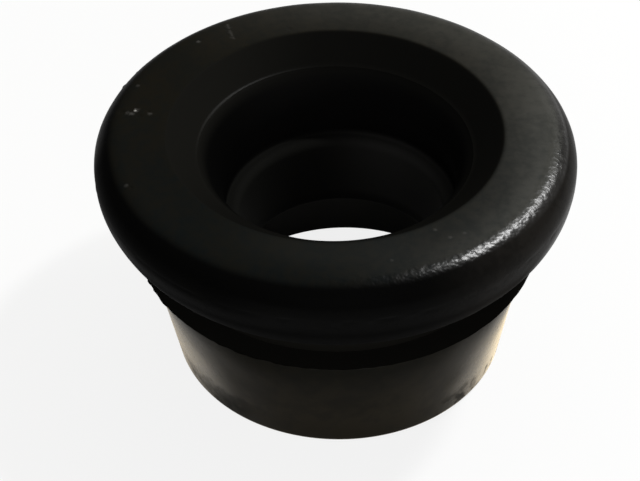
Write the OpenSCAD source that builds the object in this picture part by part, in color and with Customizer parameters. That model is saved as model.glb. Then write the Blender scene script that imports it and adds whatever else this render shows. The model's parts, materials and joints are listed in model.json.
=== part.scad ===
// Push-in rubber grommet, moulded in one piece: a round flange, a groove that holds the edge
// of a panel, and a tapered skirt. A stepped hole runs through it from top to bottom.
// The origin is the centre of the skirt's foot, and +Z points from the foot to the flange.

/* [Panel groove] */
// Diameter of the panel hole that the bottom of the groove fills
panel_hole_d = 25; // [21:0.5:38]
// Thickness of the panel that fits between the flange and the shoulder
groove_h = 3; // [1:0.25:6]

/* [Flange] */
// How far the flange reaches past the panel hole, all round
flange_reach = 4; // [3:0.1:8]
// Thickness of the flange, from its flat underside to its flat top
flange_h = 5.8; // [4.8:0.1:9]
// Radius that rounds the top edge of the flange
top_round_r = 2.1; // [0.5:0.1:2.4]
// Height of the straight band round the widest part of the flange
band_h = 0.2; // [0.1:0.05:1]
// How far the bulged side curves in between the band and the underside
bulge_inset = 1.6; // [0.4:0.1:2]

/* [Skirt] */
// How far the shoulder under the groove reaches past the panel hole, all round
shoulder_reach = 1.6; // [0.8:0.1:2.5]
// Height of the shoulder's top above the foot
shoulder_h = 9.5; // [7.5:0.1:16]
// Width and height of the chamfer under the shoulder
shoulder_chamfer = 0.7; // [0.2:0.1:1.2]
// How much the skirt narrows from below the chamfer to the foot, on each side
skirt_taper = 1.45; // [0.5:0.05:2.5]
// Thickness of the skirt's wall at the foot
skirt_wall = 1.75; // [1:0.05:2.5]
// Radius that rounds the outside edge of the foot
foot_round_r = 0.4; // [0.1:0.05:0.8]

/* [Hole] */
// Diameter of the upper bore
bore_d = 16.2; // [12:0.1:19.5]
// Width of the sloped lead-in round the top of the upper bore
lead_w = 3.3; // [2.2:0.1:4]
// Slope of the lead-in, in degrees below the flat top
lead_angle = 41; // [30:1:50]
// Radius that blends the lead-in into the upper bore
lead_blend_r = 3.9; // [0.5:0.1:4.5]
// How far the blend stands proud of a smooth join, which leaves a faint line round its top
witness_h = 0.02; // [0.01:0.01:0.05]
// Depth of the ledge at the bottom of the upper bore, below the flat top
ledge_depth = 6.95; // [6:0.05:9]
// Width of that ledge, from the upper bore to the gripping land
ledge_w = 1; // [0.8:0.05:2]
// Radius that rounds the top edge of the gripping land
land_round_r = 0.65; // [0.1:0.05:0.7]
// Length of the gripping land, from the ledge to the roof of the lower recess
land_len = 5.65; // [2:0.05:7]

/* [Hidden] */
$fn = 144;

// How far a cutting shape runs on past the surface that it cuts
overcut = 1;

// Rounds a worked-out size to a thousandth of a millimetre
function tidy(v) = round(v * 1000) / 1000;

// Levels, from the foot upwards
skirt_top_z = shoulder_h - shoulder_chamfer;
underside_z = shoulder_h + groove_h;
top_z = underside_z + flange_h;
band_top_z = top_z - top_round_r;
band_bottom_z = band_top_z - band_h;
ledge_z = top_z - ledge_depth;
recess_z = ledge_z - land_len;
lead_z = top_z - lead_w * tan(lead_angle);

// Radii
groove_r = panel_hole_d / 2;
flange_r = groove_r + flange_reach;
shoulder_r = groove_r + shoulder_reach;
skirt_top_r = shoulder_r - shoulder_chamfer;
foot_r = skirt_top_r - skirt_taper;
recess_r = foot_r - skirt_wall;
bore_r = bore_d / 2;
land_r = bore_r - ledge_w;
mouth_r = bore_r + lead_w;

// The flange's bulged side is one arc. It leaves the band upright and ends on the underside,
// bulge_inset further in.
bulge_h = band_bottom_z - underside_z;
bulge_r = tidy((bulge_inset * bulge_inset + bulge_h * bulge_h) / (2 * bulge_inset));

// The blend's arc leaves the bore upright at blend_z, and meets the lead-in's slope near witness_r
blend_centre_r = bore_r + lead_blend_r;
blend_drop = (mouth_r - blend_centre_r) * tan(lead_angle) + lead_blend_r / cos(lead_angle);
blend_z = tidy(top_z - blend_drop + witness_h);
witness_r = blend_centre_r - lead_blend_r * sin(lead_angle);

// The part of a rectangle, from its low corner to its high one, that lies outside a circle
module outside_arc(centre, r, low, high) {
    difference() {
        translate(low) square(high - low);
        translate(centre) circle(r = r);
    }
}

// Half of the flange's section, from the axis out to the band
module flange_section() {
    top_round_centre = [flange_r - top_round_r, band_top_z];
    bulge_centre = [flange_r - bulge_r, band_bottom_z];
    difference() {
        translate([0, underside_z]) square([flange_r, flange_h]);
        outside_arc(top_round_centre, top_round_r,
                    top_round_centre, [flange_r + overcut, top_z + overcut]);
        outside_arc(bulge_centre, bulge_r,
                    [bulge_centre.x, underside_z - overcut], [flange_r + overcut, band_bottom_z]);
    }
}

// Half of the section below the flange: the groove's bottom, the shoulder and the skirt
module skirt_section() {
    foot_round_centre = [foot_r - foot_round_r, foot_round_r];
    difference() {
        polygon([
            [0, 0],
            [foot_r, 0],
            [foot_r, foot_round_r],
            [skirt_top_r, skirt_top_z],
            [shoulder_r, shoulder_h],
            [groove_r, shoulder_h],
            [groove_r, underside_z],
            [0, underside_z],
        ]);
        outside_arc(foot_round_centre, foot_round_r,
                    [foot_round_centre.x, -overcut], [foot_r + overcut, foot_round_r]);
    }
}

// Half of the hole's section: the lower recess, the gripping land, the upper bore and the lead-in
module hole_section() {
    polygon([
        [0, -overcut],
        [recess_r, -overcut],
        [recess_r, recess_z],
        [land_r, recess_z],
        [land_r, ledge_z],
        [bore_r, ledge_z],
        [bore_r, lead_z],
        [mouth_r, top_z],
        [mouth_r, top_z + overcut],
        [0, top_z + overcut],
    ]);
    outside_arc([land_r + land_round_r, ledge_z - land_round_r], land_round_r,
                [land_r - overcut, ledge_z - land_round_r],
                [land_r + land_round_r, ledge_z + overcut]);
    outside_arc([blend_centre_r, blend_z], lead_blend_r,
                [bore_r - overcut, blend_z], [witness_r, top_z]);
}

module grommet() {
    color([0.07, 0.07, 0.072])
        rotate_extrude()
            difference() {
                union() {
                    flange_section();
                    skirt_section();
                }
                hole_section();
            }
}

grommet();
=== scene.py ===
# %% [markdown]
# # A push-in rubber grommet
# A grommet lines a hole in a panel. This one is a single moulding in black rubber: a fat round
# flange on top, a groove that grips the panel's edge, a tapered skirt, and a stepped hole.
# The CAD model holds the true sizes. This lesson models the same moulding again with the small
# things that a mould leaves on rubber, then gives it its finishes, a camera and lamps.

# %% Load the CAD frame
import json
import math

import bmesh
import bpy
from mathutils import Matrix, Vector


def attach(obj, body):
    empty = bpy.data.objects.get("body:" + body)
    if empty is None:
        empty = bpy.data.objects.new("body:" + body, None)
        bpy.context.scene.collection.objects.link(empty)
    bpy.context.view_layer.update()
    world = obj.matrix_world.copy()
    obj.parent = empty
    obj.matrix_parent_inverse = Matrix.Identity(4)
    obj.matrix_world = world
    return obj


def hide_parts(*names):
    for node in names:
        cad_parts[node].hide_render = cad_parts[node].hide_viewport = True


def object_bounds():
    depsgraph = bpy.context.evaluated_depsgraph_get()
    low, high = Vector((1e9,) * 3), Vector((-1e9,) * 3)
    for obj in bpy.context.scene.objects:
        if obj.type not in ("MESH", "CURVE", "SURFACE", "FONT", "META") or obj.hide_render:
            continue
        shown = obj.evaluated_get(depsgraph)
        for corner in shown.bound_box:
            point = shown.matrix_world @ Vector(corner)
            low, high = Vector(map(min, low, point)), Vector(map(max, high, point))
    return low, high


MM = 0.001
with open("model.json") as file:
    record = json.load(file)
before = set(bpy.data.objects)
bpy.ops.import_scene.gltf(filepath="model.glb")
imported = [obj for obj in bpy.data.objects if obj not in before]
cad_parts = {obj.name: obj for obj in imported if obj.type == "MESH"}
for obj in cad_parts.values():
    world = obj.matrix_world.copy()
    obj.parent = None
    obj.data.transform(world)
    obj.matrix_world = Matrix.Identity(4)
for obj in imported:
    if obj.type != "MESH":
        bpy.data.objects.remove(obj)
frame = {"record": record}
cad_low, cad_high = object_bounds()
print("CAD box in mm:", [round(v / MM, 2) for v in cad_high - cad_low])

# %% [markdown]
# ## Sizes
# The record states each place where something else fits: the bores, the panel groove and the two
# flat faces. Reading the radii and levels from it keeps this model on the CAD one. Only what the
# record leaves out, such as the roundings, is written here. All of it is in millimetres.

# %% Sizes from the record
mounts = {m["name"]: m for m in frame["record"]["mounts"]}


def mount_radius(name):
    return mounts[name]["dims"]["r_mm"]


def mount_middle(name):
    return mounts[name]["pos_m"][2] / MM


nib_room = 0.06  # the flat lies this much lower, so that its nibs stay inside the CAD box
flange_r = cad_high.x / MM
top_z = cad_high.z / MM - nib_room
groove_r = mount_radius("panel_groove")
groove_len = mounts["panel_groove"]["dims"]["length_mm"]
groove_z = mount_middle("panel_groove")
shoulder_z = groove_z - groove_len / 2
underside_z = shoulder_z + groove_len
bore_r = mount_radius("upper_bore")
land_r = mount_radius("gripping_land")
recess_r = mount_radius("lower_recess")
recess_z = 2 * mount_middle("lower_recess")
print("the flange's radius is", round(flange_r, 2), "and the groove's", groove_r)
print("the groove runs from", shoulder_z, "to", underside_z, "and the recess up to", recess_z)

# %% Sizes of the outside that the record leaves out
top_round_r = 2.1
band_h = 0.2
bulge_inset = 1.6
shoulder_r = 14.1
chamfer = 0.7
foot_r = 11.95
foot_round_r = 0.4
print("the skirt narrows from", shoulder_r - chamfer, "to", foot_r, "in radius")

# %% Sizes of the hole that the record leaves out
mouth_r = 11.4
mouth_round_r = 0.3
lead_angle = math.radians(41)
lead_blend_r = 3.9
ledge_z = 11.35
land_round_r = 0.65
recess_round_r = 0.5
small_round_r = 0.15
print("the hole narrows from", mouth_r, "at the mouth to", land_r, "at the land")

# %% [markdown]
# ## The outline
# Rubber like this is moulded round a turned core, so every section through the axis is the same.
# It could be lathed from stacked circles, but one outline that is turned keeps each fillet a true
# arc. The pen is a plane whose corners are merged into one point. It is pulled along by extruding,
# and turned round a centre by the spin operator. Its steps are about as long as the pitch, which
# is finer where a round is small.

# %% A pen that draws with extrude and spin
pitch = 0.3


def deselect():
    """Nothing is selected afterwards, so that an operator acts only on what comes next."""
    if bpy.context.mode != "OBJECT":
        bpy.ops.object.mode_set(mode="OBJECT")
    bpy.ops.object.select_all(action="DESELECT")


def start_pen(name, x, z):
    """A mesh with one vertex, which is the tip of the pen."""
    deselect()
    bpy.ops.mesh.primitive_plane_add(size=MM, location=(x * MM, 0, z * MM))
    pen = bpy.context.object
    pen.name = name
    bpy.ops.object.transform_apply(location=True, rotation=True, scale=True)
    bpy.ops.object.mode_set(mode="EDIT")
    bpy.ops.mesh.select_all(action="SELECT")
    bpy.ops.mesh.merge(type="CENTER")
    return pen


def tip():
    """Where the pen is: the one vertex that is selected, in millimetres."""
    mesh = bmesh.from_edit_mesh(bpy.context.object.data)
    return next(v.co / MM for v in mesh.verts if v.select)


def line_to(x, z, step=pitch):
    """Draws a straight line to (x, z), in equal steps."""
    here = tip()
    way = Vector((x, 0, z)) - here
    steps = max(1, round(way.length / step))
    for _ in range(steps):
        bpy.ops.mesh.extrude_vertices_move(TRANSFORM_OT_translate={"value": way / steps * MM})


def arc_round(x, z, angle, step=pitch):
    """Turns the pen about the centre (x, z). A positive angle goes from +X towards +Z."""
    here = tip()
    radius = math.hypot(here.x - x, here.z - z)
    steps = max(4, round(abs(angle) * radius / step))
    bpy.ops.mesh.spin(steps=steps, angle=angle, center=(x * MM, 0, z * MM), axis=(0, 1, 0))


outline = start_pen("grommet_moulding", recess_r + small_round_r, 0)
print("the pen starts inside the foot, at", [round(v, 2) for v in tip()])

# %% [markdown]
# The pen goes round the outside first. Two thin ribs are part of the outline: rubber creeps into
# the gap between the halves of a mould and leaves a fin of flash. One rib runs round the widest
# part of the flange, the other round the edge of the shoulder.

# %% Draw the skirt, the shoulder and the groove
right_angle = math.pi / 2
flash_w = 0.08
flash_foot = 0.1
foot_pitch = 0.12
chamfer_pitch = 0.2
tight_pitch = 0.1

line_to(foot_r - foot_round_r, 0)
arc_round(foot_r - foot_round_r, foot_round_r, right_angle, foot_pitch)
line_to(shoulder_r - chamfer, shoulder_z - chamfer)
line_to(shoulder_r, shoulder_z - flash_foot, chamfer_pitch)
line_to(shoulder_r + flash_w, shoulder_z, tight_pitch)
line_to(shoulder_r - flash_foot, shoulder_z, tight_pitch)
line_to(groove_r, shoulder_z)
line_to(groove_r, underside_z)
print("skirt and groove drawn as far as", [round(v, 2) for v in tip()])

# %% Draw the flange
side_r = flange_r - flash_w / 2
round_start_r = side_r - top_round_r
bulge_top_z = top_z - top_round_r - band_h
bulge_h = bulge_top_z - underside_z
bulge_r = (bulge_inset ** 2 + bulge_h ** 2) / (2 * bulge_inset)
bulge_angle = math.asin(bulge_h / bulge_r)
fine_pitch = 0.15

line_to(side_r - bulge_inset, underside_z)
line_to(side_r - bulge_r + bulge_r * math.cos(bulge_angle), bulge_top_z - bulge_h)
arc_round(side_r - bulge_r, bulge_top_z, bulge_angle)
line_to(flange_r, bulge_top_z + band_h / 2, tight_pitch)
line_to(side_r, bulge_top_z + band_h, tight_pitch)
arc_round(round_start_r, bulge_top_z + band_h, right_angle, fine_pitch)
line_to(mouth_r + mouth_round_r, top_z)
print("flange drawn as far as", [round(v, 2) for v in tip()])

# %% [markdown]
# The hole is next. Its lead-in slopes down to a long blend, and a thin lip stands where the two
# meet, because the core pin of the mould is made in two pieces. The lip is lower than a hair is
# thick, and takes two degrees of the blend's arc.

# %% Where the lead-in meets the blend
lip_h = 0.03
lip_turn = math.radians(2)
blend_x = bore_r + lead_blend_r
blend_z = top_z - (mouth_r - blend_x) * math.tan(lead_angle) - lead_blend_r / math.cos(lead_angle)


def on_blend(angle):
    """The point on the blend's arc whose radius leans by this angle from upright."""
    return blend_x - lead_blend_r * math.sin(angle), blend_z + lead_blend_r * math.cos(angle)


blend_start = on_blend(lead_angle)
lip_end = on_blend(lead_angle + lip_turn)
blend_start_z = blend_start[1]
lip_x = (blend_start[0] + lip_end[0]) / 2
lip_z = (blend_start_z + lip_end[1]) / 2
print("the lip runs at radius", round(lip_x, 2), "and height", round(lip_z, 2))

# %% Draw the mouth, the lead-in and the lip
mouth_back = mouth_round_r * math.tan(lead_angle / 2)
finest_pitch = 0.06
lip_pitch = 1  # longer than the lip's two sides, so that each is drawn in one step

line_to(mouth_r + mouth_back, top_z)
arc_round(mouth_r + mouth_back, top_z - mouth_round_r, lead_angle, finest_pitch)
line_to(*blend_start)
line_to(lip_x, lip_z + lip_h, lip_pitch)
line_to(*lip_end, lip_pitch)
arc_round(blend_x, blend_z, right_angle - lead_angle - lip_turn)
print("lead-in drawn as far as", [round(v, 2) for v in tip()])

# %% [markdown]
# Below the ledge the land is the narrowest part, which grips what is pushed through. The recess
# under it lets the thin skirt fold in when the grommet is pushed into a panel. Where the outline
# closes, its last point lies on its first, so doubles are merged at the end.

# %% Draw the bore, the land and the recess
coarse_pitch = 0.6
merge_gap = 0.002

line_to(bore_r, ledge_z + small_round_r)
arc_round(bore_r - small_round_r, ledge_z + small_round_r, -right_angle, finest_pitch)
line_to(land_r + land_round_r, ledge_z)
arc_round(land_r + land_round_r, ledge_z - land_round_r, right_angle, tight_pitch)
line_to(land_r, recess_z + small_round_r)
arc_round(land_r + small_round_r, recess_z + small_round_r, right_angle, finest_pitch)
line_to(recess_r - recess_round_r, recess_z, coarse_pitch)
arc_round(recess_r - recess_round_r, recess_z - recess_round_r, -right_angle, fine_pitch)
line_to(recess_r, small_round_r, coarse_pitch)
arc_round(recess_r + small_round_r, small_round_r, right_angle, finest_pitch)
bpy.ops.mesh.select_all(action="SELECT")
bpy.ops.mesh.remove_doubles(threshold=merge_gap * MM)
bpy.ops.object.mode_set(mode="OBJECT")
print("outline has", len(outline.data.vertices), "points and", len(outline.data.edges), "edges")

# %% [markdown]
# ## Turning the outline
# A Screw modifier with no rise turns the outline once round the axis. The spin operator could do it
# too, but it lists the corners of its faces in another order from run to run, and the marks that
# are cut into them later would then differ a little. The first and last copies of the outline lie
# on each other, so they are merged. Only then are the normals made to face outwards.

# %% Turn the outline into a solid
turn_steps = 360
moulding = outline


def select_moulding():
    """The moulding, and nothing else, is what the next operator acts on."""
    deselect()
    moulding.select_set(True)
    bpy.context.view_layer.objects.active = moulding


full_turn = moulding.modifiers.new("full_turn", "SCREW")
full_turn.axis = "Z"
full_turn.angle = 2 * math.pi
full_turn.screw_offset = 0
full_turn.steps = turn_steps
full_turn.render_steps = turn_steps
full_turn.use_merge_vertices = True
full_turn.merge_threshold = merge_gap * MM
select_moulding()
bpy.ops.object.modifier_apply(modifier=full_turn.name)
bpy.ops.object.mode_set(mode="EDIT")
bpy.ops.mesh.select_all(action="SELECT")
bpy.ops.mesh.normals_make_consistent(inside=False)
bpy.ops.object.mode_set(mode="OBJECT")
print("moulding has", len(moulding.data.polygons), "faces")

# %% [markdown]
# ## What the mould leaves
# Rubber never comes out as true as it is drawn. It could be sculpted by hand, but vertex groups
# repeat: each says where one kind of unevenness belongs, and a Displace modifier moves only those
# points, along their normals by cloud noise, or straight along an axis where no noise is given. A
# middle level of 1 only pulls the surface in, so that it never grows past its drawn size.


# %% Vertex groups and displacement
def ramp(value, low, high):
    """0 up to low, 1 from high on, and smooth in between. With low above high it falls."""
    t = min(max((value - low) / (high - low), 0), 1)
    return t * t * (3 - 2 * t)


def paint_group(name, rule):
    """A vertex group whose weights come from rule(radius, azimuth, height), in mm and degrees."""
    group = moulding.vertex_groups.new(name=name)
    for v in moulding.data.vertices:
        x, y, z = v.co / MM
        weight = rule(math.hypot(x, y), math.degrees(math.atan2(y, x)), z)
        if weight > 0:
            group.add([v.index], min(weight, 1), "REPLACE")
    return name


def displace(group, depth, noise_size=None, middle=0.0, direction="NORMAL"):
    """Moves the named group by up to depth mm, evenly or by cloud noise of noise_size mm."""
    uneven = moulding.modifiers.new(group, "DISPLACE")
    if noise_size:
        uneven.texture = bpy.data.textures.new(group, "CLOUDS")
        uneven.texture.noise_scale = noise_size * MM
        uneven.texture.noise_depth = 1
        uneven.texture_coords = "LOCAL"
    uneven.vertex_group = group
    uneven.direction = direction
    uneven.strength = depth * MM
    uneven.mid_level = middle
    select_moulding()
    bpy.ops.object.modifier_apply(modifier=uneven.name)


print("a ramp from 0 to 1 is at", ramp(0.25, 0, 1), "a quarter of the way up")

# %% [markdown]
# The edge of the shoulder is ragged on one side, where the flash was torn off, and smoother on the
# other. The parting line round the flange has only small breaks, and the whole surface but the
# foot is a few hundredths of a millimetre uneven.

# %% Flash, parting line and unevenness
torn_azimuth = -140
flash_level_gap = 0.05


def on_shoulder_flash(radius, azimuth, height):
    on_edge = abs(height - shoulder_z) < flash_level_gap and radius > shoulder_r
    ragged = 0.3 + 0.7 * ramp(abs(azimuth - torn_azimuth), 80, 20)
    return ragged if on_edge else 0


def on_parting_line(radius, azimuth, height):
    return 1 if radius > side_r + flash_w / 4 else 0


def off_the_foot(radius, azimuth, height):
    return ramp(height, 0.3, 2.5)


flash_group = paint_group("shoulder_flash", on_shoulder_flash)
displace(flash_group, depth=0.3, noise_size=0.7, middle=0.6)
parting_group = paint_group("parting_flash", on_parting_line)
displace(parting_group, depth=0.09, noise_size=0.6, middle=1.0)
uneven_group = paint_group("unevenness", off_the_foot)
displace(uneven_group, depth=0.05, noise_size=4.0, middle=1.0)
print("vertex groups so far:", [group.name for group in moulding.vertex_groups])

# %% [markdown]
# A moulding also leans a little as it cools, and the lower core pin sits slightly off the middle,
# so the narrow end of the hole isn't quite under its mouth. Both are a few tenths of a millimetre.
# A lean is a plain slide whose amount changes with height, so it needs no noise.

# %% Lean of the skirt and of the core pin
skirt_lean = 0.245
core_lean_x = 0.44
core_lean_y = 0.16
foot_edge_z = small_round_r + 0.05
past_bore = 0.9  # far enough to take in the lower part of the blend
past_recess = 0.1
above_recess = 0.3


def towards_foot(radius, azimuth, height):
    return 1 - height / top_z


def on_lower_core(radius, azimuth, height):
    """The wall of the hole below the lead-in, and its edge at the foot."""
    if height < foot_edge_z:
        return ramp(radius, foot_r - foot_round_r, recess_r + small_round_r)
    reach = bore_r + past_bore if height > recess_z + above_recess else recess_r + past_recess
    further_down = 0.8 + 0.2 * ramp(height, recess_z, 0)
    return ramp(height, blend_start_z, ledge_z) * further_down if radius < reach else 0


skirt_group = paint_group("skirt_lean", towards_foot)
core_group = paint_group("core_lean", on_lower_core)
displace(skirt_group, skirt_lean, direction="X")
displace(core_group, core_lean_x, direction="X")
displace(core_group, core_lean_y, direction="Y")
heights = [v.co.z / MM for v in moulding.data.vertices]
print("z now runs from", round(min(heights), 3), "to", round(max(heights), 3))

# %% [markdown]
# ## Marks
# Small marks are pressed in or pulled out one at a time, as with a sculpting tool: the faces round
# a spot are subdivided, and the nearest vertex is moved with proportional editing. Where rubber is
# nicked or scratched it turns pale, so each mark also says how pale its middle is.
# A mark is (azimuth in degrees, radius, size, bump's height or minus the dent's depth, paleness).

# %% Dents, nibs and one scratch
marks = [
    (171.0, 14.75, 0.35, -0.05, 0.0),
    (171.6, 14.3, 0.22, 0.04, 0.04),
    (170.4, 13.83, 0.14, 0.06, 0.5),
    (171.8, 13.98, 0.25, 0.05, 0.07),
    (172.4, 13.45, 0.35, -0.05, 0.0),
    (170.0, 12.95, 0.25, -0.05, 0.0),
    (171.2, 12.75, 0.22, 0.05, 0.06),
    (133.2, 14.1, 0.20, 0.04, 0.06),
    (159.3, 14.6, 0.22, 0.04, 0.03),
    (-157.8, 14.8, 0.22, 0.04, 0.03),
    (-156.6, 14.6, 0.25, -0.05, 0.0),
    (104.8, 12.1, 0.3, -0.04, 0.0),
    (-57.5, 13.2, 0.2, 0.015, 0.03),
    (-53.2, 13.4, 0.18, 0.015, 0.03),
    (-59.2, 12.1, 0.18, 0.015, 0.03),
    (-75.8, 13.6, 0.18, 0.015, 0.02),
    (150.0, 16.2, 0.3, 0.05, 0.0),
    (157.0, 16.1, 0.3, 0.05, 0.0),
]
scratch_start = (121.7, 14.5)
scratch_end = (123.8, 12.85)
scratch_steps = 12
scratch_size, scratch_height, scratch_paleness = 0.14, 0.02, 0.035
for i in range(scratch_steps + 1):
    t = i / scratch_steps
    azimuth, radius = (a + (b - a) * t for a, b in zip(scratch_start, scratch_end))
    marks.append((azimuth, radius, scratch_size, scratch_height, scratch_paleness))
print(len(marks), "marks")

# %% [markdown]
# Each spot is subdivided three times, each time closer in. Marks that overlap, as the steps of the
# scratch do, would cut the same faces again and again, so faces that are small enough are left.


# %% How one mark is made
def top_height(radius):
    """Height of the flange's upper surface at this radius."""
    past = radius - round_start_r
    if past <= 0:
        return top_z
    return top_z - top_round_r + math.sqrt(max(top_round_r ** 2 - past ** 2, 0))


def mark_spot(azimuth, radius):
    turn = math.radians(azimuth)
    return Vector((radius * math.cos(turn), radius * math.sin(turn), top_height(radius))) * MM


def subdivide_near(spot, reach, cuts, fine_area):
    """Subdivides the faces within reach of the spot that are larger than fine_area."""
    mesh = bmesh.from_edit_mesh(moulding.data)
    in_view = [face for face in mesh.faces if not face.hide]
    for face in in_view:
        near = (face.calc_center_median() - spot).length < reach * MM
        face.select = near and face.calc_area() > fine_area * MM ** 2
    bmesh.update_edit_mesh(moulding.data)
    bpy.ops.mesh.subdivide(number_cuts=cuts)


def make_mark(azimuth, radius, size, height):
    spot = mark_spot(azimuth, radius)
    subdivide_near(spot, reach=size + 0.15, cuts=2, fine_area=0.02)
    subdivide_near(spot, reach=size + 0.05, cuts=1, fine_area=0.004)
    subdivide_near(spot, reach=size - 0.05, cuts=1, fine_area=0.001)
    mesh = bmesh.from_edit_mesh(moulding.data)
    in_view = [v for v in mesh.verts if not v.hide]
    nearest = min(in_view, key=lambda v: (v.co - spot).length)
    bpy.ops.mesh.select_all(action="DESELECT")
    nearest.select = True
    push = nearest.normal * height * MM
    bmesh.update_edit_mesh(moulding.data)
    bpy.ops.transform.translate(value=push, use_proportional_edit=True,
                                proportional_edit_falloff="SMOOTH", proportional_size=size * MM)


print("the first mark is at", [round(v / MM, 2) for v in mark_spot(*marks[0][:2])])

# %% [markdown]
# The marks are all on top of the flange, so everything else is hidden first. Hidden faces are left
# alone by the operators, and there is far less to search.

# %% Press the marks into the flange
select_moulding()
bpy.ops.object.mode_set(mode="EDIT")
bpy.ops.mesh.select_mode(type="VERT")
mesh = bmesh.from_edit_mesh(moulding.data)
for v in mesh.verts:
    on_flange_top = v.co.z > (top_z - top_round_r) * MM and v.co.xy.length > mouth_r * MM
    v.select_set(on_flange_top)
mesh.select_flush_mode()
bmesh.update_edit_mesh(moulding.data)
bpy.ops.mesh.hide(unselected=True)
for azimuth, radius, size, height, paleness in marks:
    make_mark(azimuth, radius, size, height)
bpy.ops.mesh.reveal(select=False)
bpy.ops.object.mode_set(mode="OBJECT")
print("moulding now has", len(moulding.data.vertices), "vertices")

# %% [markdown]
# How pale each point is goes into an attribute of the mesh, which the finish reads later. Faces
# that meet at a sharp angle keep their edge, and the others are shaded smooth.

# %% Paleness of the marks, and shading
sharp_angle = math.radians(40)
scuff = moulding.data.attributes.new("scuff", "FLOAT", "POINT")
on_top = [v for v in moulding.data.vertices if v.co.z > (top_z - top_round_r) * MM]
for azimuth, radius, size, height, paleness in marks:
    spot = mark_spot(azimuth, radius)
    for v in on_top:
        near = ramp((v.co - spot).length / MM, size, size * 0.3)
        if near * paleness > scuff.data[v.index].value:
            scuff.data[v.index].value = near * paleness
bpy.ops.object.shade_smooth_by_angle(angle=sharp_angle)
moulding.data.calc_loop_triangles()
print("moulding has", len(moulding.data.loop_triangles), "triangles")

# %% [markdown]
# ## Shader maths
# A material is a graph of nodes. Its sums could be laid out by hand, node by node, but they read
# better as sums. This small class wraps a socket, so that plain expressions on what varies over
# the surface add their own Math nodes.


# %% A socket with arithmetic
class Wire:
    """A value on its way through a graph."""

    def __init__(self, graph, socket):
        self.graph = graph
        self.socket = socket

    def __add__(self, other):
        return self.graph.maths("ADD", self, other)

    def __sub__(self, other):
        return self.graph.maths("SUBTRACT", self, other)

    def __rsub__(self, other):
        return self.graph.maths("SUBTRACT", other, self)

    def __mul__(self, other):
        return self.graph.maths("MULTIPLY", self, other)

    def __pow__(self, other):
        return self.graph.maths("POWER", self, other)

    __radd__ = __add__
    __rmul__ = __mul__


print("wires can be added, subtracted, multiplied and raised to a power")

# %% [markdown]
# Any node that isn't a plain sum comes from one method. It makes the node's settings first,
# because some of them change which sockets the node has, and then feeds its inputs.


# %% A graph that adds nodes
class Graph:
    """The node tree of a material or a world."""

    def __init__(self, owner):
        owner.use_nodes = True
        self.tree = owner.node_tree
        self.tree.nodes.clear()

    def node(self, kind, settings=None, inputs=None, out=0):
        """Adds a node, makes its settings, feeds its inputs and gives one of its outputs."""
        made = self.tree.nodes.new("ShaderNode" + kind)
        for name, value in (settings or {}).items():
            setattr(made, name, value)
        for name, value in (inputs or {}).items():
            if isinstance(value, Wire):
                self.tree.links.new(value.socket, made.inputs[name])
            else:
                made.inputs[name].default_value = value
        return Wire(self, made.outputs[out])

    def outputs(self, kind, inputs=None):
        """Adds a node that gives several values, and gives them all by name."""
        sockets = self.node(kind, None, inputs).socket.node.outputs
        return {socket.name: Wire(self, socket) for socket in sockets}

    def maths(self, operation, first, second):
        return self.node("Math", {"operation": operation}, {0: first, 1: second})

    def most(self, first, second):
        return self.maths("MAXIMUM", first, second)

    def smooth(self, value, low, high):
        """0 up to low, 1 from high on, and smooth in between. With low above high it falls."""
        falling = low > high
        ends = {"From Min": min(low, high), "From Max": max(low, high), "Value": value}
        eased = self.node("MapRange", {"interpolation_type": "SMOOTHSTEP"}, ends)
        return 1 - eased if falling else eased

    def noise(self, place, size, detail, roughness):
        """Noise from 0 to 1 whose features are about this many millimetres across."""
        sockets = {"Vector": place, "Scale": 1 / (size * MM), "Detail": detail}
        return self.node("TexNoise", None, {**sockets, "Roughness": roughness})

    def bump(self, height):
        """A normal that is tilted as if the surface stood this high, in metres."""
        return self.node("Bump", None, {"Height": height, "Distance": 1.0, "Strength": 1.0})

    def colour_mix(self, factor, first, second):
        """The first colour at factor 0, the second at factor 1."""
        colour_a, colour_b, colour_out = 6, 7, 2
        inputs = {"Factor": factor, colour_a: first, colour_b: second}
        return self.node("Mix", {"data_type": "RGBA"}, inputs, colour_out)

    def principled(self, colour, roughness, specular, bump):
        return self.node("BsdfPrincipled", None, {"Base Color": colour, "Roughness": roughness,
                                                  "Specular IOR Level": specular, "Normal": bump})

    def shader_mix(self, factor, first, second):
        """The first shader at factor 0, the second at factor 1."""
        return self.node("MixShader", None, {0: factor, 1: first, 2: second})

    def finish(self, shader, kind="OutputMaterial"):
        output = self.tree.nodes.new("ShaderNode" + kind)
        self.tree.links.new(shader.socket, output.inputs["Surface"])


print("a graph has", len([name for name in vars(Graph) if name[0] != "_"]), "ways to add nodes")

# %% [markdown]
# ## Black rubber
# It is one compound, but the mould's faces differ. The flat of the flange took a fine grain with a
# soft sheen. Its side and the hole are dull, and the skirt is smooth and dusty in blots. So there
# are two materials, and each works out its colour and gloss from where a point lies. A painted
# image could do that too, but sums stay sharp from close up. The object's own coordinates are read
# here once, in millimetres, so that the numbers that follow are sizes on the rubber. Several of the
# colours are painted light and shade.


# %% Where a point lies
class Surface:
    """The point that a finish is worked out for: x, y, z and radius are in millimetres."""

    def __init__(self, name):
        self.material = bpy.data.materials.new(name)
        self.graph = Graph(self.material)
        self.place = self.graph.outputs("TexCoord")["Object"]
        axes = self.graph.outputs("SeparateXYZ", {"Vector": self.place})
        self.x, self.y, self.z = (axes[name] * (1 / MM) for name in "XYZ")
        self.radius = (self.x * self.x + self.y * self.y) ** 0.5


spot = Surface("flange_rubber")
graph = spot.graph
print(spot.material.name, "starts with", len(graph.tree.nodes), "nodes")

# %% [markdown]
# The grain is noise at three sizes: fine grains, coarse ones, and patches that are longer across
# than deep. On most of the flange the fine grain is only a few thousandths of a millimetre deep.
# On the rounded rim at the front right it is far deeper, where it breaks the lamp's reflection
# into a row of bright beads.

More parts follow.
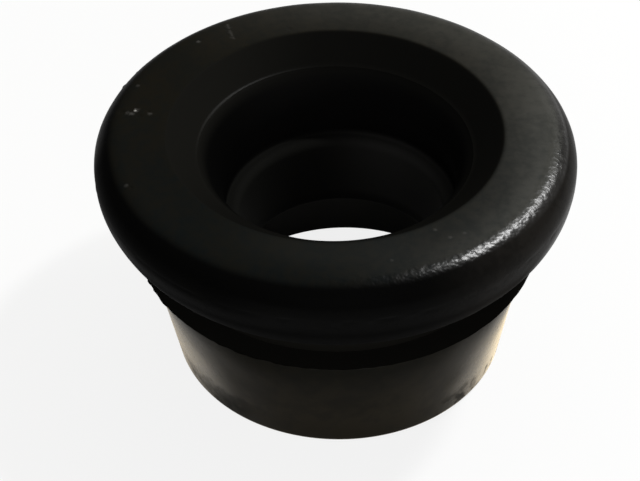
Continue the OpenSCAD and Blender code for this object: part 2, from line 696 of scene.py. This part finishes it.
# %% Grain of the flange
fine = graph.noise(spot.place, size=0.38, detail=1, roughness=0.5)
coarse = graph.noise(spot.place, size=0.6, detail=3, roughness=0.55)
stretched = graph.node("VectorMath", {"operation": "MULTIPLY"}, {0: spot.place, 1: (1, 0.45, 1)})
patches = graph.noise(stretched, size=2.5, detail=3, roughness=0.6)
mottle = graph.smooth(patches * 0.5 + coarse * 0.5, 0.36, 0.64)

on_rim = graph.smooth(spot.radius, 14.3, 14.8) * graph.smooth(spot.radius, 15.9, 15.5)
on_rim = on_rim * graph.smooth(spot.y, 4, -2) * graph.smooth(spot.x, -5, 2)
rim_grain = 0.042 * MM
fine_grain = 0.002 * MM
coarse_grain = 0.008 * MM
grain = graph.bump(fine * (on_rim * rim_grain + fine_grain) + coarse * coarse_grain)
print("with its grain the flange has", len(graph.tree.nodes), "nodes")

# %% [markdown]
# The flat is a greenish black with a random mottle. Half of its colour is painted light: it is
# cooler and darker in front, and browner and paler behind. The side of the flange is painted shade,
# nearly a pure black, and painted light makes its right side paler. The groove's walls are painted
# paler, as light that reaches under the flange.

# %% Colours of the flange
flat_warm = (0.0084, 0.0073, 0.0050, 1)
flat_cool = (0.0050, 0.0060, 0.0059, 1)
side_painted_shade = (0.0019, 0.0019, 0.0018, 1)
side_painted_light = (0.0110, 0.0100, 0.0088, 1)
groove_painted_light = (0.0110, 0.0105, 0.0090, 1)

# painted light: over a random mottle, the flat is cooler and darker in front, browner and paler
# behind
mottle_and_painted_light = mottle * 0.5 + graph.smooth(spot.y, -12, 10) * 0.5
flat = graph.colour_mix(mottle_and_painted_light, flat_cool, flat_warm)
on_flat = graph.smooth(spot.z, top_z - 0.36, top_z - 0.09)
# painted shade: the side is nearly black next to the flat, and painted light makes its right part
# paler
right_painted_light = graph.smooth(spot.x, 5, 12.5) * (mottle * 0.5 + 0.7)
side = graph.colour_mix(right_painted_light, side_painted_shade, side_painted_light)
# painted light: the groove's walls are made paler, as light that reaches under the flange
in_groove = graph.smooth(spot.z, underside_z + 0.2, underside_z - 0.1)
side = graph.colour_mix(in_groove, side, groove_painted_light)
flange_colour = graph.colour_mix(on_flat, side, flat)
print("with its colours the flange has", len(graph.tree.nodes), "nodes")

# %% [markdown]
# The hole is painted from the top down, and most of what changes in it is painted light and shade.
# The lead-in is painted greyer on the left, where it faces the lamps. The upper wall is the
# blackest, and painted shade makes it darker still on the left. The land is painted darker on the
# left and paler on the right, and the recess is painted the palest, as light. A line of painted
# shadow marks the land's lower edge.

# %% Colours of the hole
lead_in_dark = (0.0042, 0.0041, 0.0036, 1)
lead_in_painted_light = (0.0070, 0.0068, 0.0058, 1)
wall_black = (0.0034, 0.0033, 0.0032, 1)
wall_left_painted_shade = (0.0017, 0.0017, 0.0016, 1)
land_left_painted_shade = (0.0070, 0.0070, 0.0062, 1)
land_right_painted_light = (0.0230, 0.0226, 0.0215, 1)
recess_painted_light = (0.0420, 0.0410, 0.0380, 1)
wall_top_z = 15.6

# painted light: the lead-in is greyer on the left, where it faces the lamps
leftwards = spot.y * 0.26 - spot.x * 0.97
hole = graph.colour_mix(graph.smooth(leftwards, 3, 10.5), lead_in_dark, lead_in_painted_light)
on_wall = graph.smooth(spot.z, wall_top_z + 1, wall_top_z)
# painted shade: the upper wall is darker on the left
wall = graph.colour_mix(graph.smooth(spot.x, -3, -8), wall_black, wall_left_painted_shade)
hole = graph.colour_mix(on_wall, hole, wall)
on_land = graph.smooth(spot.z, ledge_z + 0.5, ledge_z - 0.3)
# painted shade on the left of the land and painted light on its right
land = graph.colour_mix(graph.smooth(spot.x, -1.5, 5), land_left_painted_shade, land_right_painted_light)
hole = graph.colour_mix(on_land, hole, land)
# painted shadow: a dark line along the land's lower edge
land_edge_painted_shadow = graph.smooth(spot.z, recess_z + 1.2, recess_z + 0.2)
hole = graph.colour_mix(land_edge_painted_shadow * 0.7, hole, wall_black)
# painted light: the recess is the palest part of the hole
in_recess = graph.smooth(spot.z, recess_z - 0.2, recess_z - 0.5)
hole = graph.colour_mix(in_recess, hole, recess_painted_light)
print("with its hole the flange has", len(graph.tree.nodes), "nodes")

# %% [markdown]
# The two colours meet at the mouth, and the marks are laid over both by the paleness that the mesh
# carries.

# %% Colour at the mouth and in the marks
pale_scuff = (0.55, 0.53, 0.50, 1)

in_hole = graph.smooth(spot.radius, mouth_r + 0.15, mouth_r - 0.1)
colour = graph.colour_mix(in_hole, flange_colour, hole)
scuffed = graph.node("Attribute", {"attribute_name": "scuff"}, None, "Fac")
colour = graph.colour_mix(scuffed, colour, pale_scuff)
print("with its marks the flange has", len(graph.tree.nodes), "nodes")

# %% [markdown]
# Every rubber shines where it is seen edge-on, but this one less in places where it is rubbed or
# dirty. So the side is a mix of a dull shader and one with some gloss. The gloss shows above the
# bulge and on the right, fades towards the back and the left, and leaves a dull patch at the front
# left.

# %% Gloss along the side of the flange
rough = patches * 0.06 + coarse * 0.1
dull = graph.principled(colour, roughness=rough + 0.55, specular=0.004, bump=grain)
edge = graph.principled(colour, roughness=rough + 0.2, specular=0.02, bump=grain)

to_the_right = graph.smooth(spot.x, 11.5, 14.5)
to_the_left = graph.smooth(spot.x, -11.5, -14.5)
off_the_bulge = graph.smooth(spot.z, 14.5, 16.2)
facing_out = graph.most(graph.most(off_the_bulge, to_the_right), to_the_left * 0.25)
facing_out = facing_out * (1 - graph.smooth(spot.y, -8, -2) * 0.32)
facing_out = facing_out * (1 - graph.smooth(spot.x, -5, -12) * 0.45)
front_left = graph.smooth(spot.x, -3, -8) * graph.smooth(spot.y, 0, -3)
front_left = front_left * graph.smooth(spot.z, 15, 16)
edge_gloss = facing_out * (1 - in_hole) * (1 - front_left * 0.8) * (1 - on_flat * 0.8)
flange_side = graph.shader_mix(edge_gloss, dull, edge)
print("with its side the flange has", len(graph.tree.nodes), "nodes")

# %% [markdown]
# The flat has its own sheen, which grows from left to right and towards the rim, and is weaker
# behind. In front it is lowered beside the mouth, and lifted again in the middle.

# %% Sheen of the flat
across = graph.smooth(spot.x * 0.045 + spot.y * 0.018 + 0.4, 0, 1)
towards_rim = graph.smooth(spot.radius, 11.2, 14.8) * 0.6 + 0.4
behind = graph.smooth(spot.y, 0, 9)
near_mouth = graph.smooth(spot.radius, 14.6, 12.5)
in_front = graph.smooth(spot.y, -5, -12) * graph.smooth(spot.x, -9, -1) * graph.smooth(spot.x, 8, 3)

polish = across * towards_rim * (mottle * 0.3 + 0.8) * (1 - behind * 0.34)
polish = polish * (1 - graph.smooth(spot.y, -2, -8) * near_mouth * 0.28)
polish = polish + in_front * near_mouth * 0.11
polish = polish * graph.smooth(spot.radius, mouth_r - 0.1, mouth_r + 0.35)
at_right = graph.smooth(spot.x, 9, 14.5)
on_top_face = graph.smooth(spot.z + at_right * 0.22, top_z - 0.42, top_z - 0.19) * (1 - in_hole)
print("with its sheen the flange has", len(graph.tree.nodes), "nodes")

# %% [markdown]
# The lip in the hole is a ridge all the way round, but it catches the light on about a third of
# its length, at the back left. A narrow ring of sheen picks it out there.

# %% Sheen of the lip, and the flange's finish
lip = graph.smooth(spot.radius, lip_x - 0.16, lip_x - 0.08)
lip = lip * graph.smooth(spot.radius, lip_x + 0.16, lip_x + 0.08)
lip = lip * graph.smooth(spot.z, lip_z - 0.5, lip_z - 0.3)
lip = lip * graph.smooth(spot.y * 0.64 - spot.x * 0.77, 6.0, 9.4)

shiny_rough = rough + 0.32 - on_rim * 0.12
shiny = graph.principled(colour, roughness=shiny_rough, specular=0.45, bump=grain)
shine = graph.most(on_top_face * polish, lip * 0.075)
graph.finish(graph.shader_mix(shine, flange_side, shiny))
flange_rubber = spot.material
print("the finished flange has", len(graph.tree.nodes), "nodes")

# %% [markdown]
# ## Skirt
# The skirt slid on benches and in boxes, so it carries dust in blots, and has dark smudges at the
# sides of the foot where the dust was rubbed away. Its colour is also painted darker towards the
# top, as shade under the flange, and paler low down. The walls of the groove are painted paler, as
# light that reaches under the flange.

# %% Grain and dust of the skirt
skirt_black = (0.0076, 0.0074, 0.0060, 1)
dust = (0.0175, 0.0150, 0.0102, 1)

spot = Surface("skirt_rubber")
graph = spot.graph
fine = graph.noise(spot.place, size=0.25, detail=2, roughness=0.5)
coarse = graph.noise(spot.place, size=0.9, detail=3, roughness=0.5)
patches = graph.noise(spot.place, size=3, detail=2, roughness=0.6)
fine_grain = 0.002 * MM
coarse_grain = 0.01 * MM
grain = graph.bump(fine * fine_grain + coarse * coarse_grain)
mottle = graph.smooth(coarse * 0.5 + patches * 0.5, 0.38, 0.62)
# painted shade: over random dust blots, the skirt darkens towards the top, under the flange
dust_and_painted_shade = graph.smooth(spot.z, 8, 0) * (mottle * 0.6 + 0.7) + mottle * 0.25
print("with its dust the skirt has", len(graph.tree.nodes), "nodes")

# %% Smudges and colour of the skirt
blots = graph.smooth(coarse * 0.6 + patches * 0.4, 0.49, 0.6)
to_a_side = graph.smooth(spot.x * spot.x, 5 ** 2, 9 ** 2)
smudge = blots * graph.smooth(spot.z, 3, 0.8) * (to_a_side * 0.7 + 0.25)
rubbed_foot = graph.smooth(spot.z + coarse * 3, 4.6, 3) * graph.smooth(spot.x, -4.5, -7.5)
rubbed_foot = rubbed_foot * graph.smooth(spot.y, -4.5, -6) * (0.6 + mottle * 0.4)
smudge = graph.most(smudge, rubbed_foot)

colour = graph.colour_mix(dust_and_painted_shade * (1 - smudge), skirt_black, dust)
# painted light: the groove's walls are made paler, as light that reaches under the flange
in_groove = graph.smooth(spot.z, shoulder_z - 0.3, shoulder_z - 0.1)
colour = graph.colour_mix(in_groove, colour, groove_painted_light)
print("with its smudges the skirt has", len(graph.tree.nodes), "nodes")

# %% [markdown]
# Dust also makes a surface glow where it is grazed, as the fuzz on cloth does, so the sheen
# sockets are used for it. How far the surface turns away comes from a Layer Weight node. Seen
# face-on the skirt is dull, and where it turns away it grows glossy, more so low down.

# %% Gloss of the skirt
rough = mottle * 0.06 + 0.2
face_on = graph.principled(colour, roughness=rough + 0.35, specular=0.004, bump=grain)
plain = graph.principled(colour, roughness=rough, specular=0.02, bump=grain)
edge_on = graph.principled(colour, roughness=rough + 0.05, specular=0.29, bump=grain)
for shader, weight in ((plain, 0.10), (edge_on, 0.75)):
    sheen = shader.socket.node.inputs
    sheen["Sheen Weight"].default_value = weight
    sheen["Sheen Roughness"].default_value = 0.4
    sheen["Sheen Tint"].default_value = (1.0, 0.80, 0.50, 1.0)

turn = graph.node("LayerWeight", None, {"Blend": 0.5}, "Facing")
turned_away = graph.smooth(turn, 0.59, 0.82) * graph.smooth(spot.z, 8.2, 3.4)
glossy = graph.shader_mix(turned_away, plain, edge_on)
below_shoulder = graph.smooth(spot.z - to_a_side * 0.9, 9, 5.5) * (1 - smudge * 0.8)
grazed = graph.smooth(turn, 0.46, 0.66) * 0.6 + 0.4
graph.finish(graph.shader_mix(below_shoulder * grazed, face_on, glossy))
skirt_rubber = spot.material
print("the finished skirt has", len(graph.tree.nodes), "nodes")

# %% [markdown]
# Each face takes one of the two finishes by its place. The line between them runs round the middle
# of the groove and round the foot, where both are dark. Then the moulding stands for the CAD node.

# %% Give the faces their finishes
foot_split_r = recess_r + 0.75
moulding.data.materials.append(flange_rubber)
moulding.data.materials.append(skirt_rubber)
for polygon in moulding.data.polygons:
    outside = math.hypot(*polygon.center[:2]) > foot_split_r * MM
    polygon.material_index = 1 if outside and polygon.center.z < groove_z * MM else 0
on_skirt = sum(polygon.material_index for polygon in moulding.data.polygons)
print(on_skirt, "of", len(moulding.data.polygons), "faces have the skirt's finish")

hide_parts("grommet")
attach(moulding, "root")

# %% [markdown]
# ## The stage
# The floor is pale. It glows white where the camera or a reflection sees it, so the background is
# plain white, and it still takes light and keeps a soft shadow under the grommet.

# %% Floor
deselect()
floor_size = 3
white_share = 0.85
white = (1, 1, 1, 1)
bpy.ops.mesh.primitive_plane_add(size=floor_size, location=(0, 0, 0))
floor = bpy.context.object
floor.name = "floor"
floor_paint = bpy.data.materials.new("pale_floor")
graph = Graph(floor_paint)
lit = graph.node("BsdfPrincipled", None,
                 {"Base Color": (0.85, 0.85, 0.84, 1), "Roughness": 0.9, "Specular IOR Level": 0.1})
glow = graph.node("Emission", None, {"Color": white, "Strength": 1.0})
rays = graph.outputs("LightPath")
seen = graph.most(rays["Is Camera Ray"], rays["Is Glossy Ray"])
seen = graph.most(seen, rays["Is Transmission Ray"])
graph.finish(graph.shader_mix(seen * white_share, lit, glow))
floor.data.materials.append(floor_paint)
print("the floor is", floor_size, "m wide")

# %% [markdown]
# The world is white to the camera, for low views that look past the floor. Everything else gets
# only a dim and even room light from it.

# %% World
room_light = 0.15
world = bpy.data.worlds.new("studio")
bpy.context.scene.world = world
graph = Graph(world)
strength = graph.outputs("LightPath")["Is Camera Ray"] * (1 - room_light) + room_light
graph.finish(graph.node("Background", None, {"Color": white, "Strength": strength}), "OutputWorld")
print("the room gives", room_light, "of a full level from all round")

# %% [markdown]
# A small lamp and a strip at the back right draw the bright line along the flange's rounded edge,
# and a wide panel behind gives the flat top its sheen. A large panel overhead and a smaller one in
# front give plain soft light. Those two aren't seen in reflections.

# %% A soft lamp
lamp_aim = Vector((11.5, -9.6, top_z)) * MM
lamp_distance = 300


def soft_light(name, azimuth, elevation, wide, high, radiance, tilt=0.0, mirrored=True):
    """An oval lamp that looks at the flange, wide and high in degrees as the flange sees it."""
    a, e = math.radians(azimuth), math.radians(elevation)
    back = Vector((math.cos(e) * math.cos(a), math.cos(e) * math.sin(a), math.sin(e)))
    lamp = bpy.data.lights.new(name, "AREA")
    lamp.shape = "ELLIPSE"
    lamp.size = 2 * lamp_distance * MM * math.tan(math.radians(wide / 2))
    lamp.size_y = 2 * lamp_distance * MM * math.tan(math.radians(high / 2))
    face_area = math.pi * lamp.size * lamp.size_y / 4
    lamp.energy = radiance * math.pi * face_area
    made = bpy.data.objects.new(name, lamp)
    bpy.context.scene.collection.objects.link(made)
    made.location = lamp_aim + back * lamp_distance * MM
    made.rotation_mode = "QUATERNION"
    turn = Matrix.Rotation(math.radians(tilt), 3, "Z").to_quaternion()
    made.rotation_quaternion = (-back).to_track_quat("-Z", "Y") @ turn
    made.visible_camera = False
    made.visible_glossy = mirrored
    level = radiance * face_area / (lamp_distance * MM) ** 2 / math.pi
    print(name, "gives", round(level * back.z, 2), "of a full level on a flat top")
    return lamp


print("the lamps look at", [round(v / MM, 1) for v in lamp_aim], "from", lamp_distance, "mm away")

# %% Lamps
soft_light("key_lamp", azimuth=31.5, elevation=59, wide=6, high=6, radiance=190)
soft_light("key_strip", azimuth=38, elevation=48, wide=5, high=27, radiance=33, tilt=20)
panel = soft_light("back_panel", azimuth=82, elevation=36, wide=60, high=60, radiance=0.62)
panel.color = (1, 1, 0.84)
soft_light("top_panel", azimuth=0, elevation=89, wide=64, high=64, radiance=0.25, mirrored=False)
soft_light("front_fill", azimuth=-90, elevation=25, wide=34, high=34, radiance=3.6, mirrored=False)

# %% [markdown]
# ## The camera
# The camera looks down at about 42 degrees from in front, with a long lens, and is rolled by less
# than a degree.

# %% Camera
camera_data = bpy.data.cameras.new("camera")
camera_data.lens = 100.19
camera_data.sensor_width = 36
camera_data.clip_start = 0.005
camera = bpy.data.objects.new("camera", camera_data)
bpy.context.scene.collection.objects.link(camera)
bpy.context.scene.camera = camera
camera_place = Vector((-1.096, -94.489, 93.175)) * MM
camera_aim = Vector((-1.096, 4.019, 4.463)) * MM
camera_roll = math.radians(-0.81)
camera.rotation_mode = "QUATERNION"
camera.location = camera_place
look = (camera_aim - camera_place).to_track_quat("-Z", "Y")
camera.rotation_quaternion = look @ Matrix.Rotation(camera_roll, 3, "Z").to_quaternion()
bpy.context.scene.view_settings.view_transform = "Standard"
print("the camera is", round((camera_aim - camera_place).length / MM), "mm from what it looks at")

# %% [markdown]
# ## The end
# The moulding has to stay inside the CAD box.
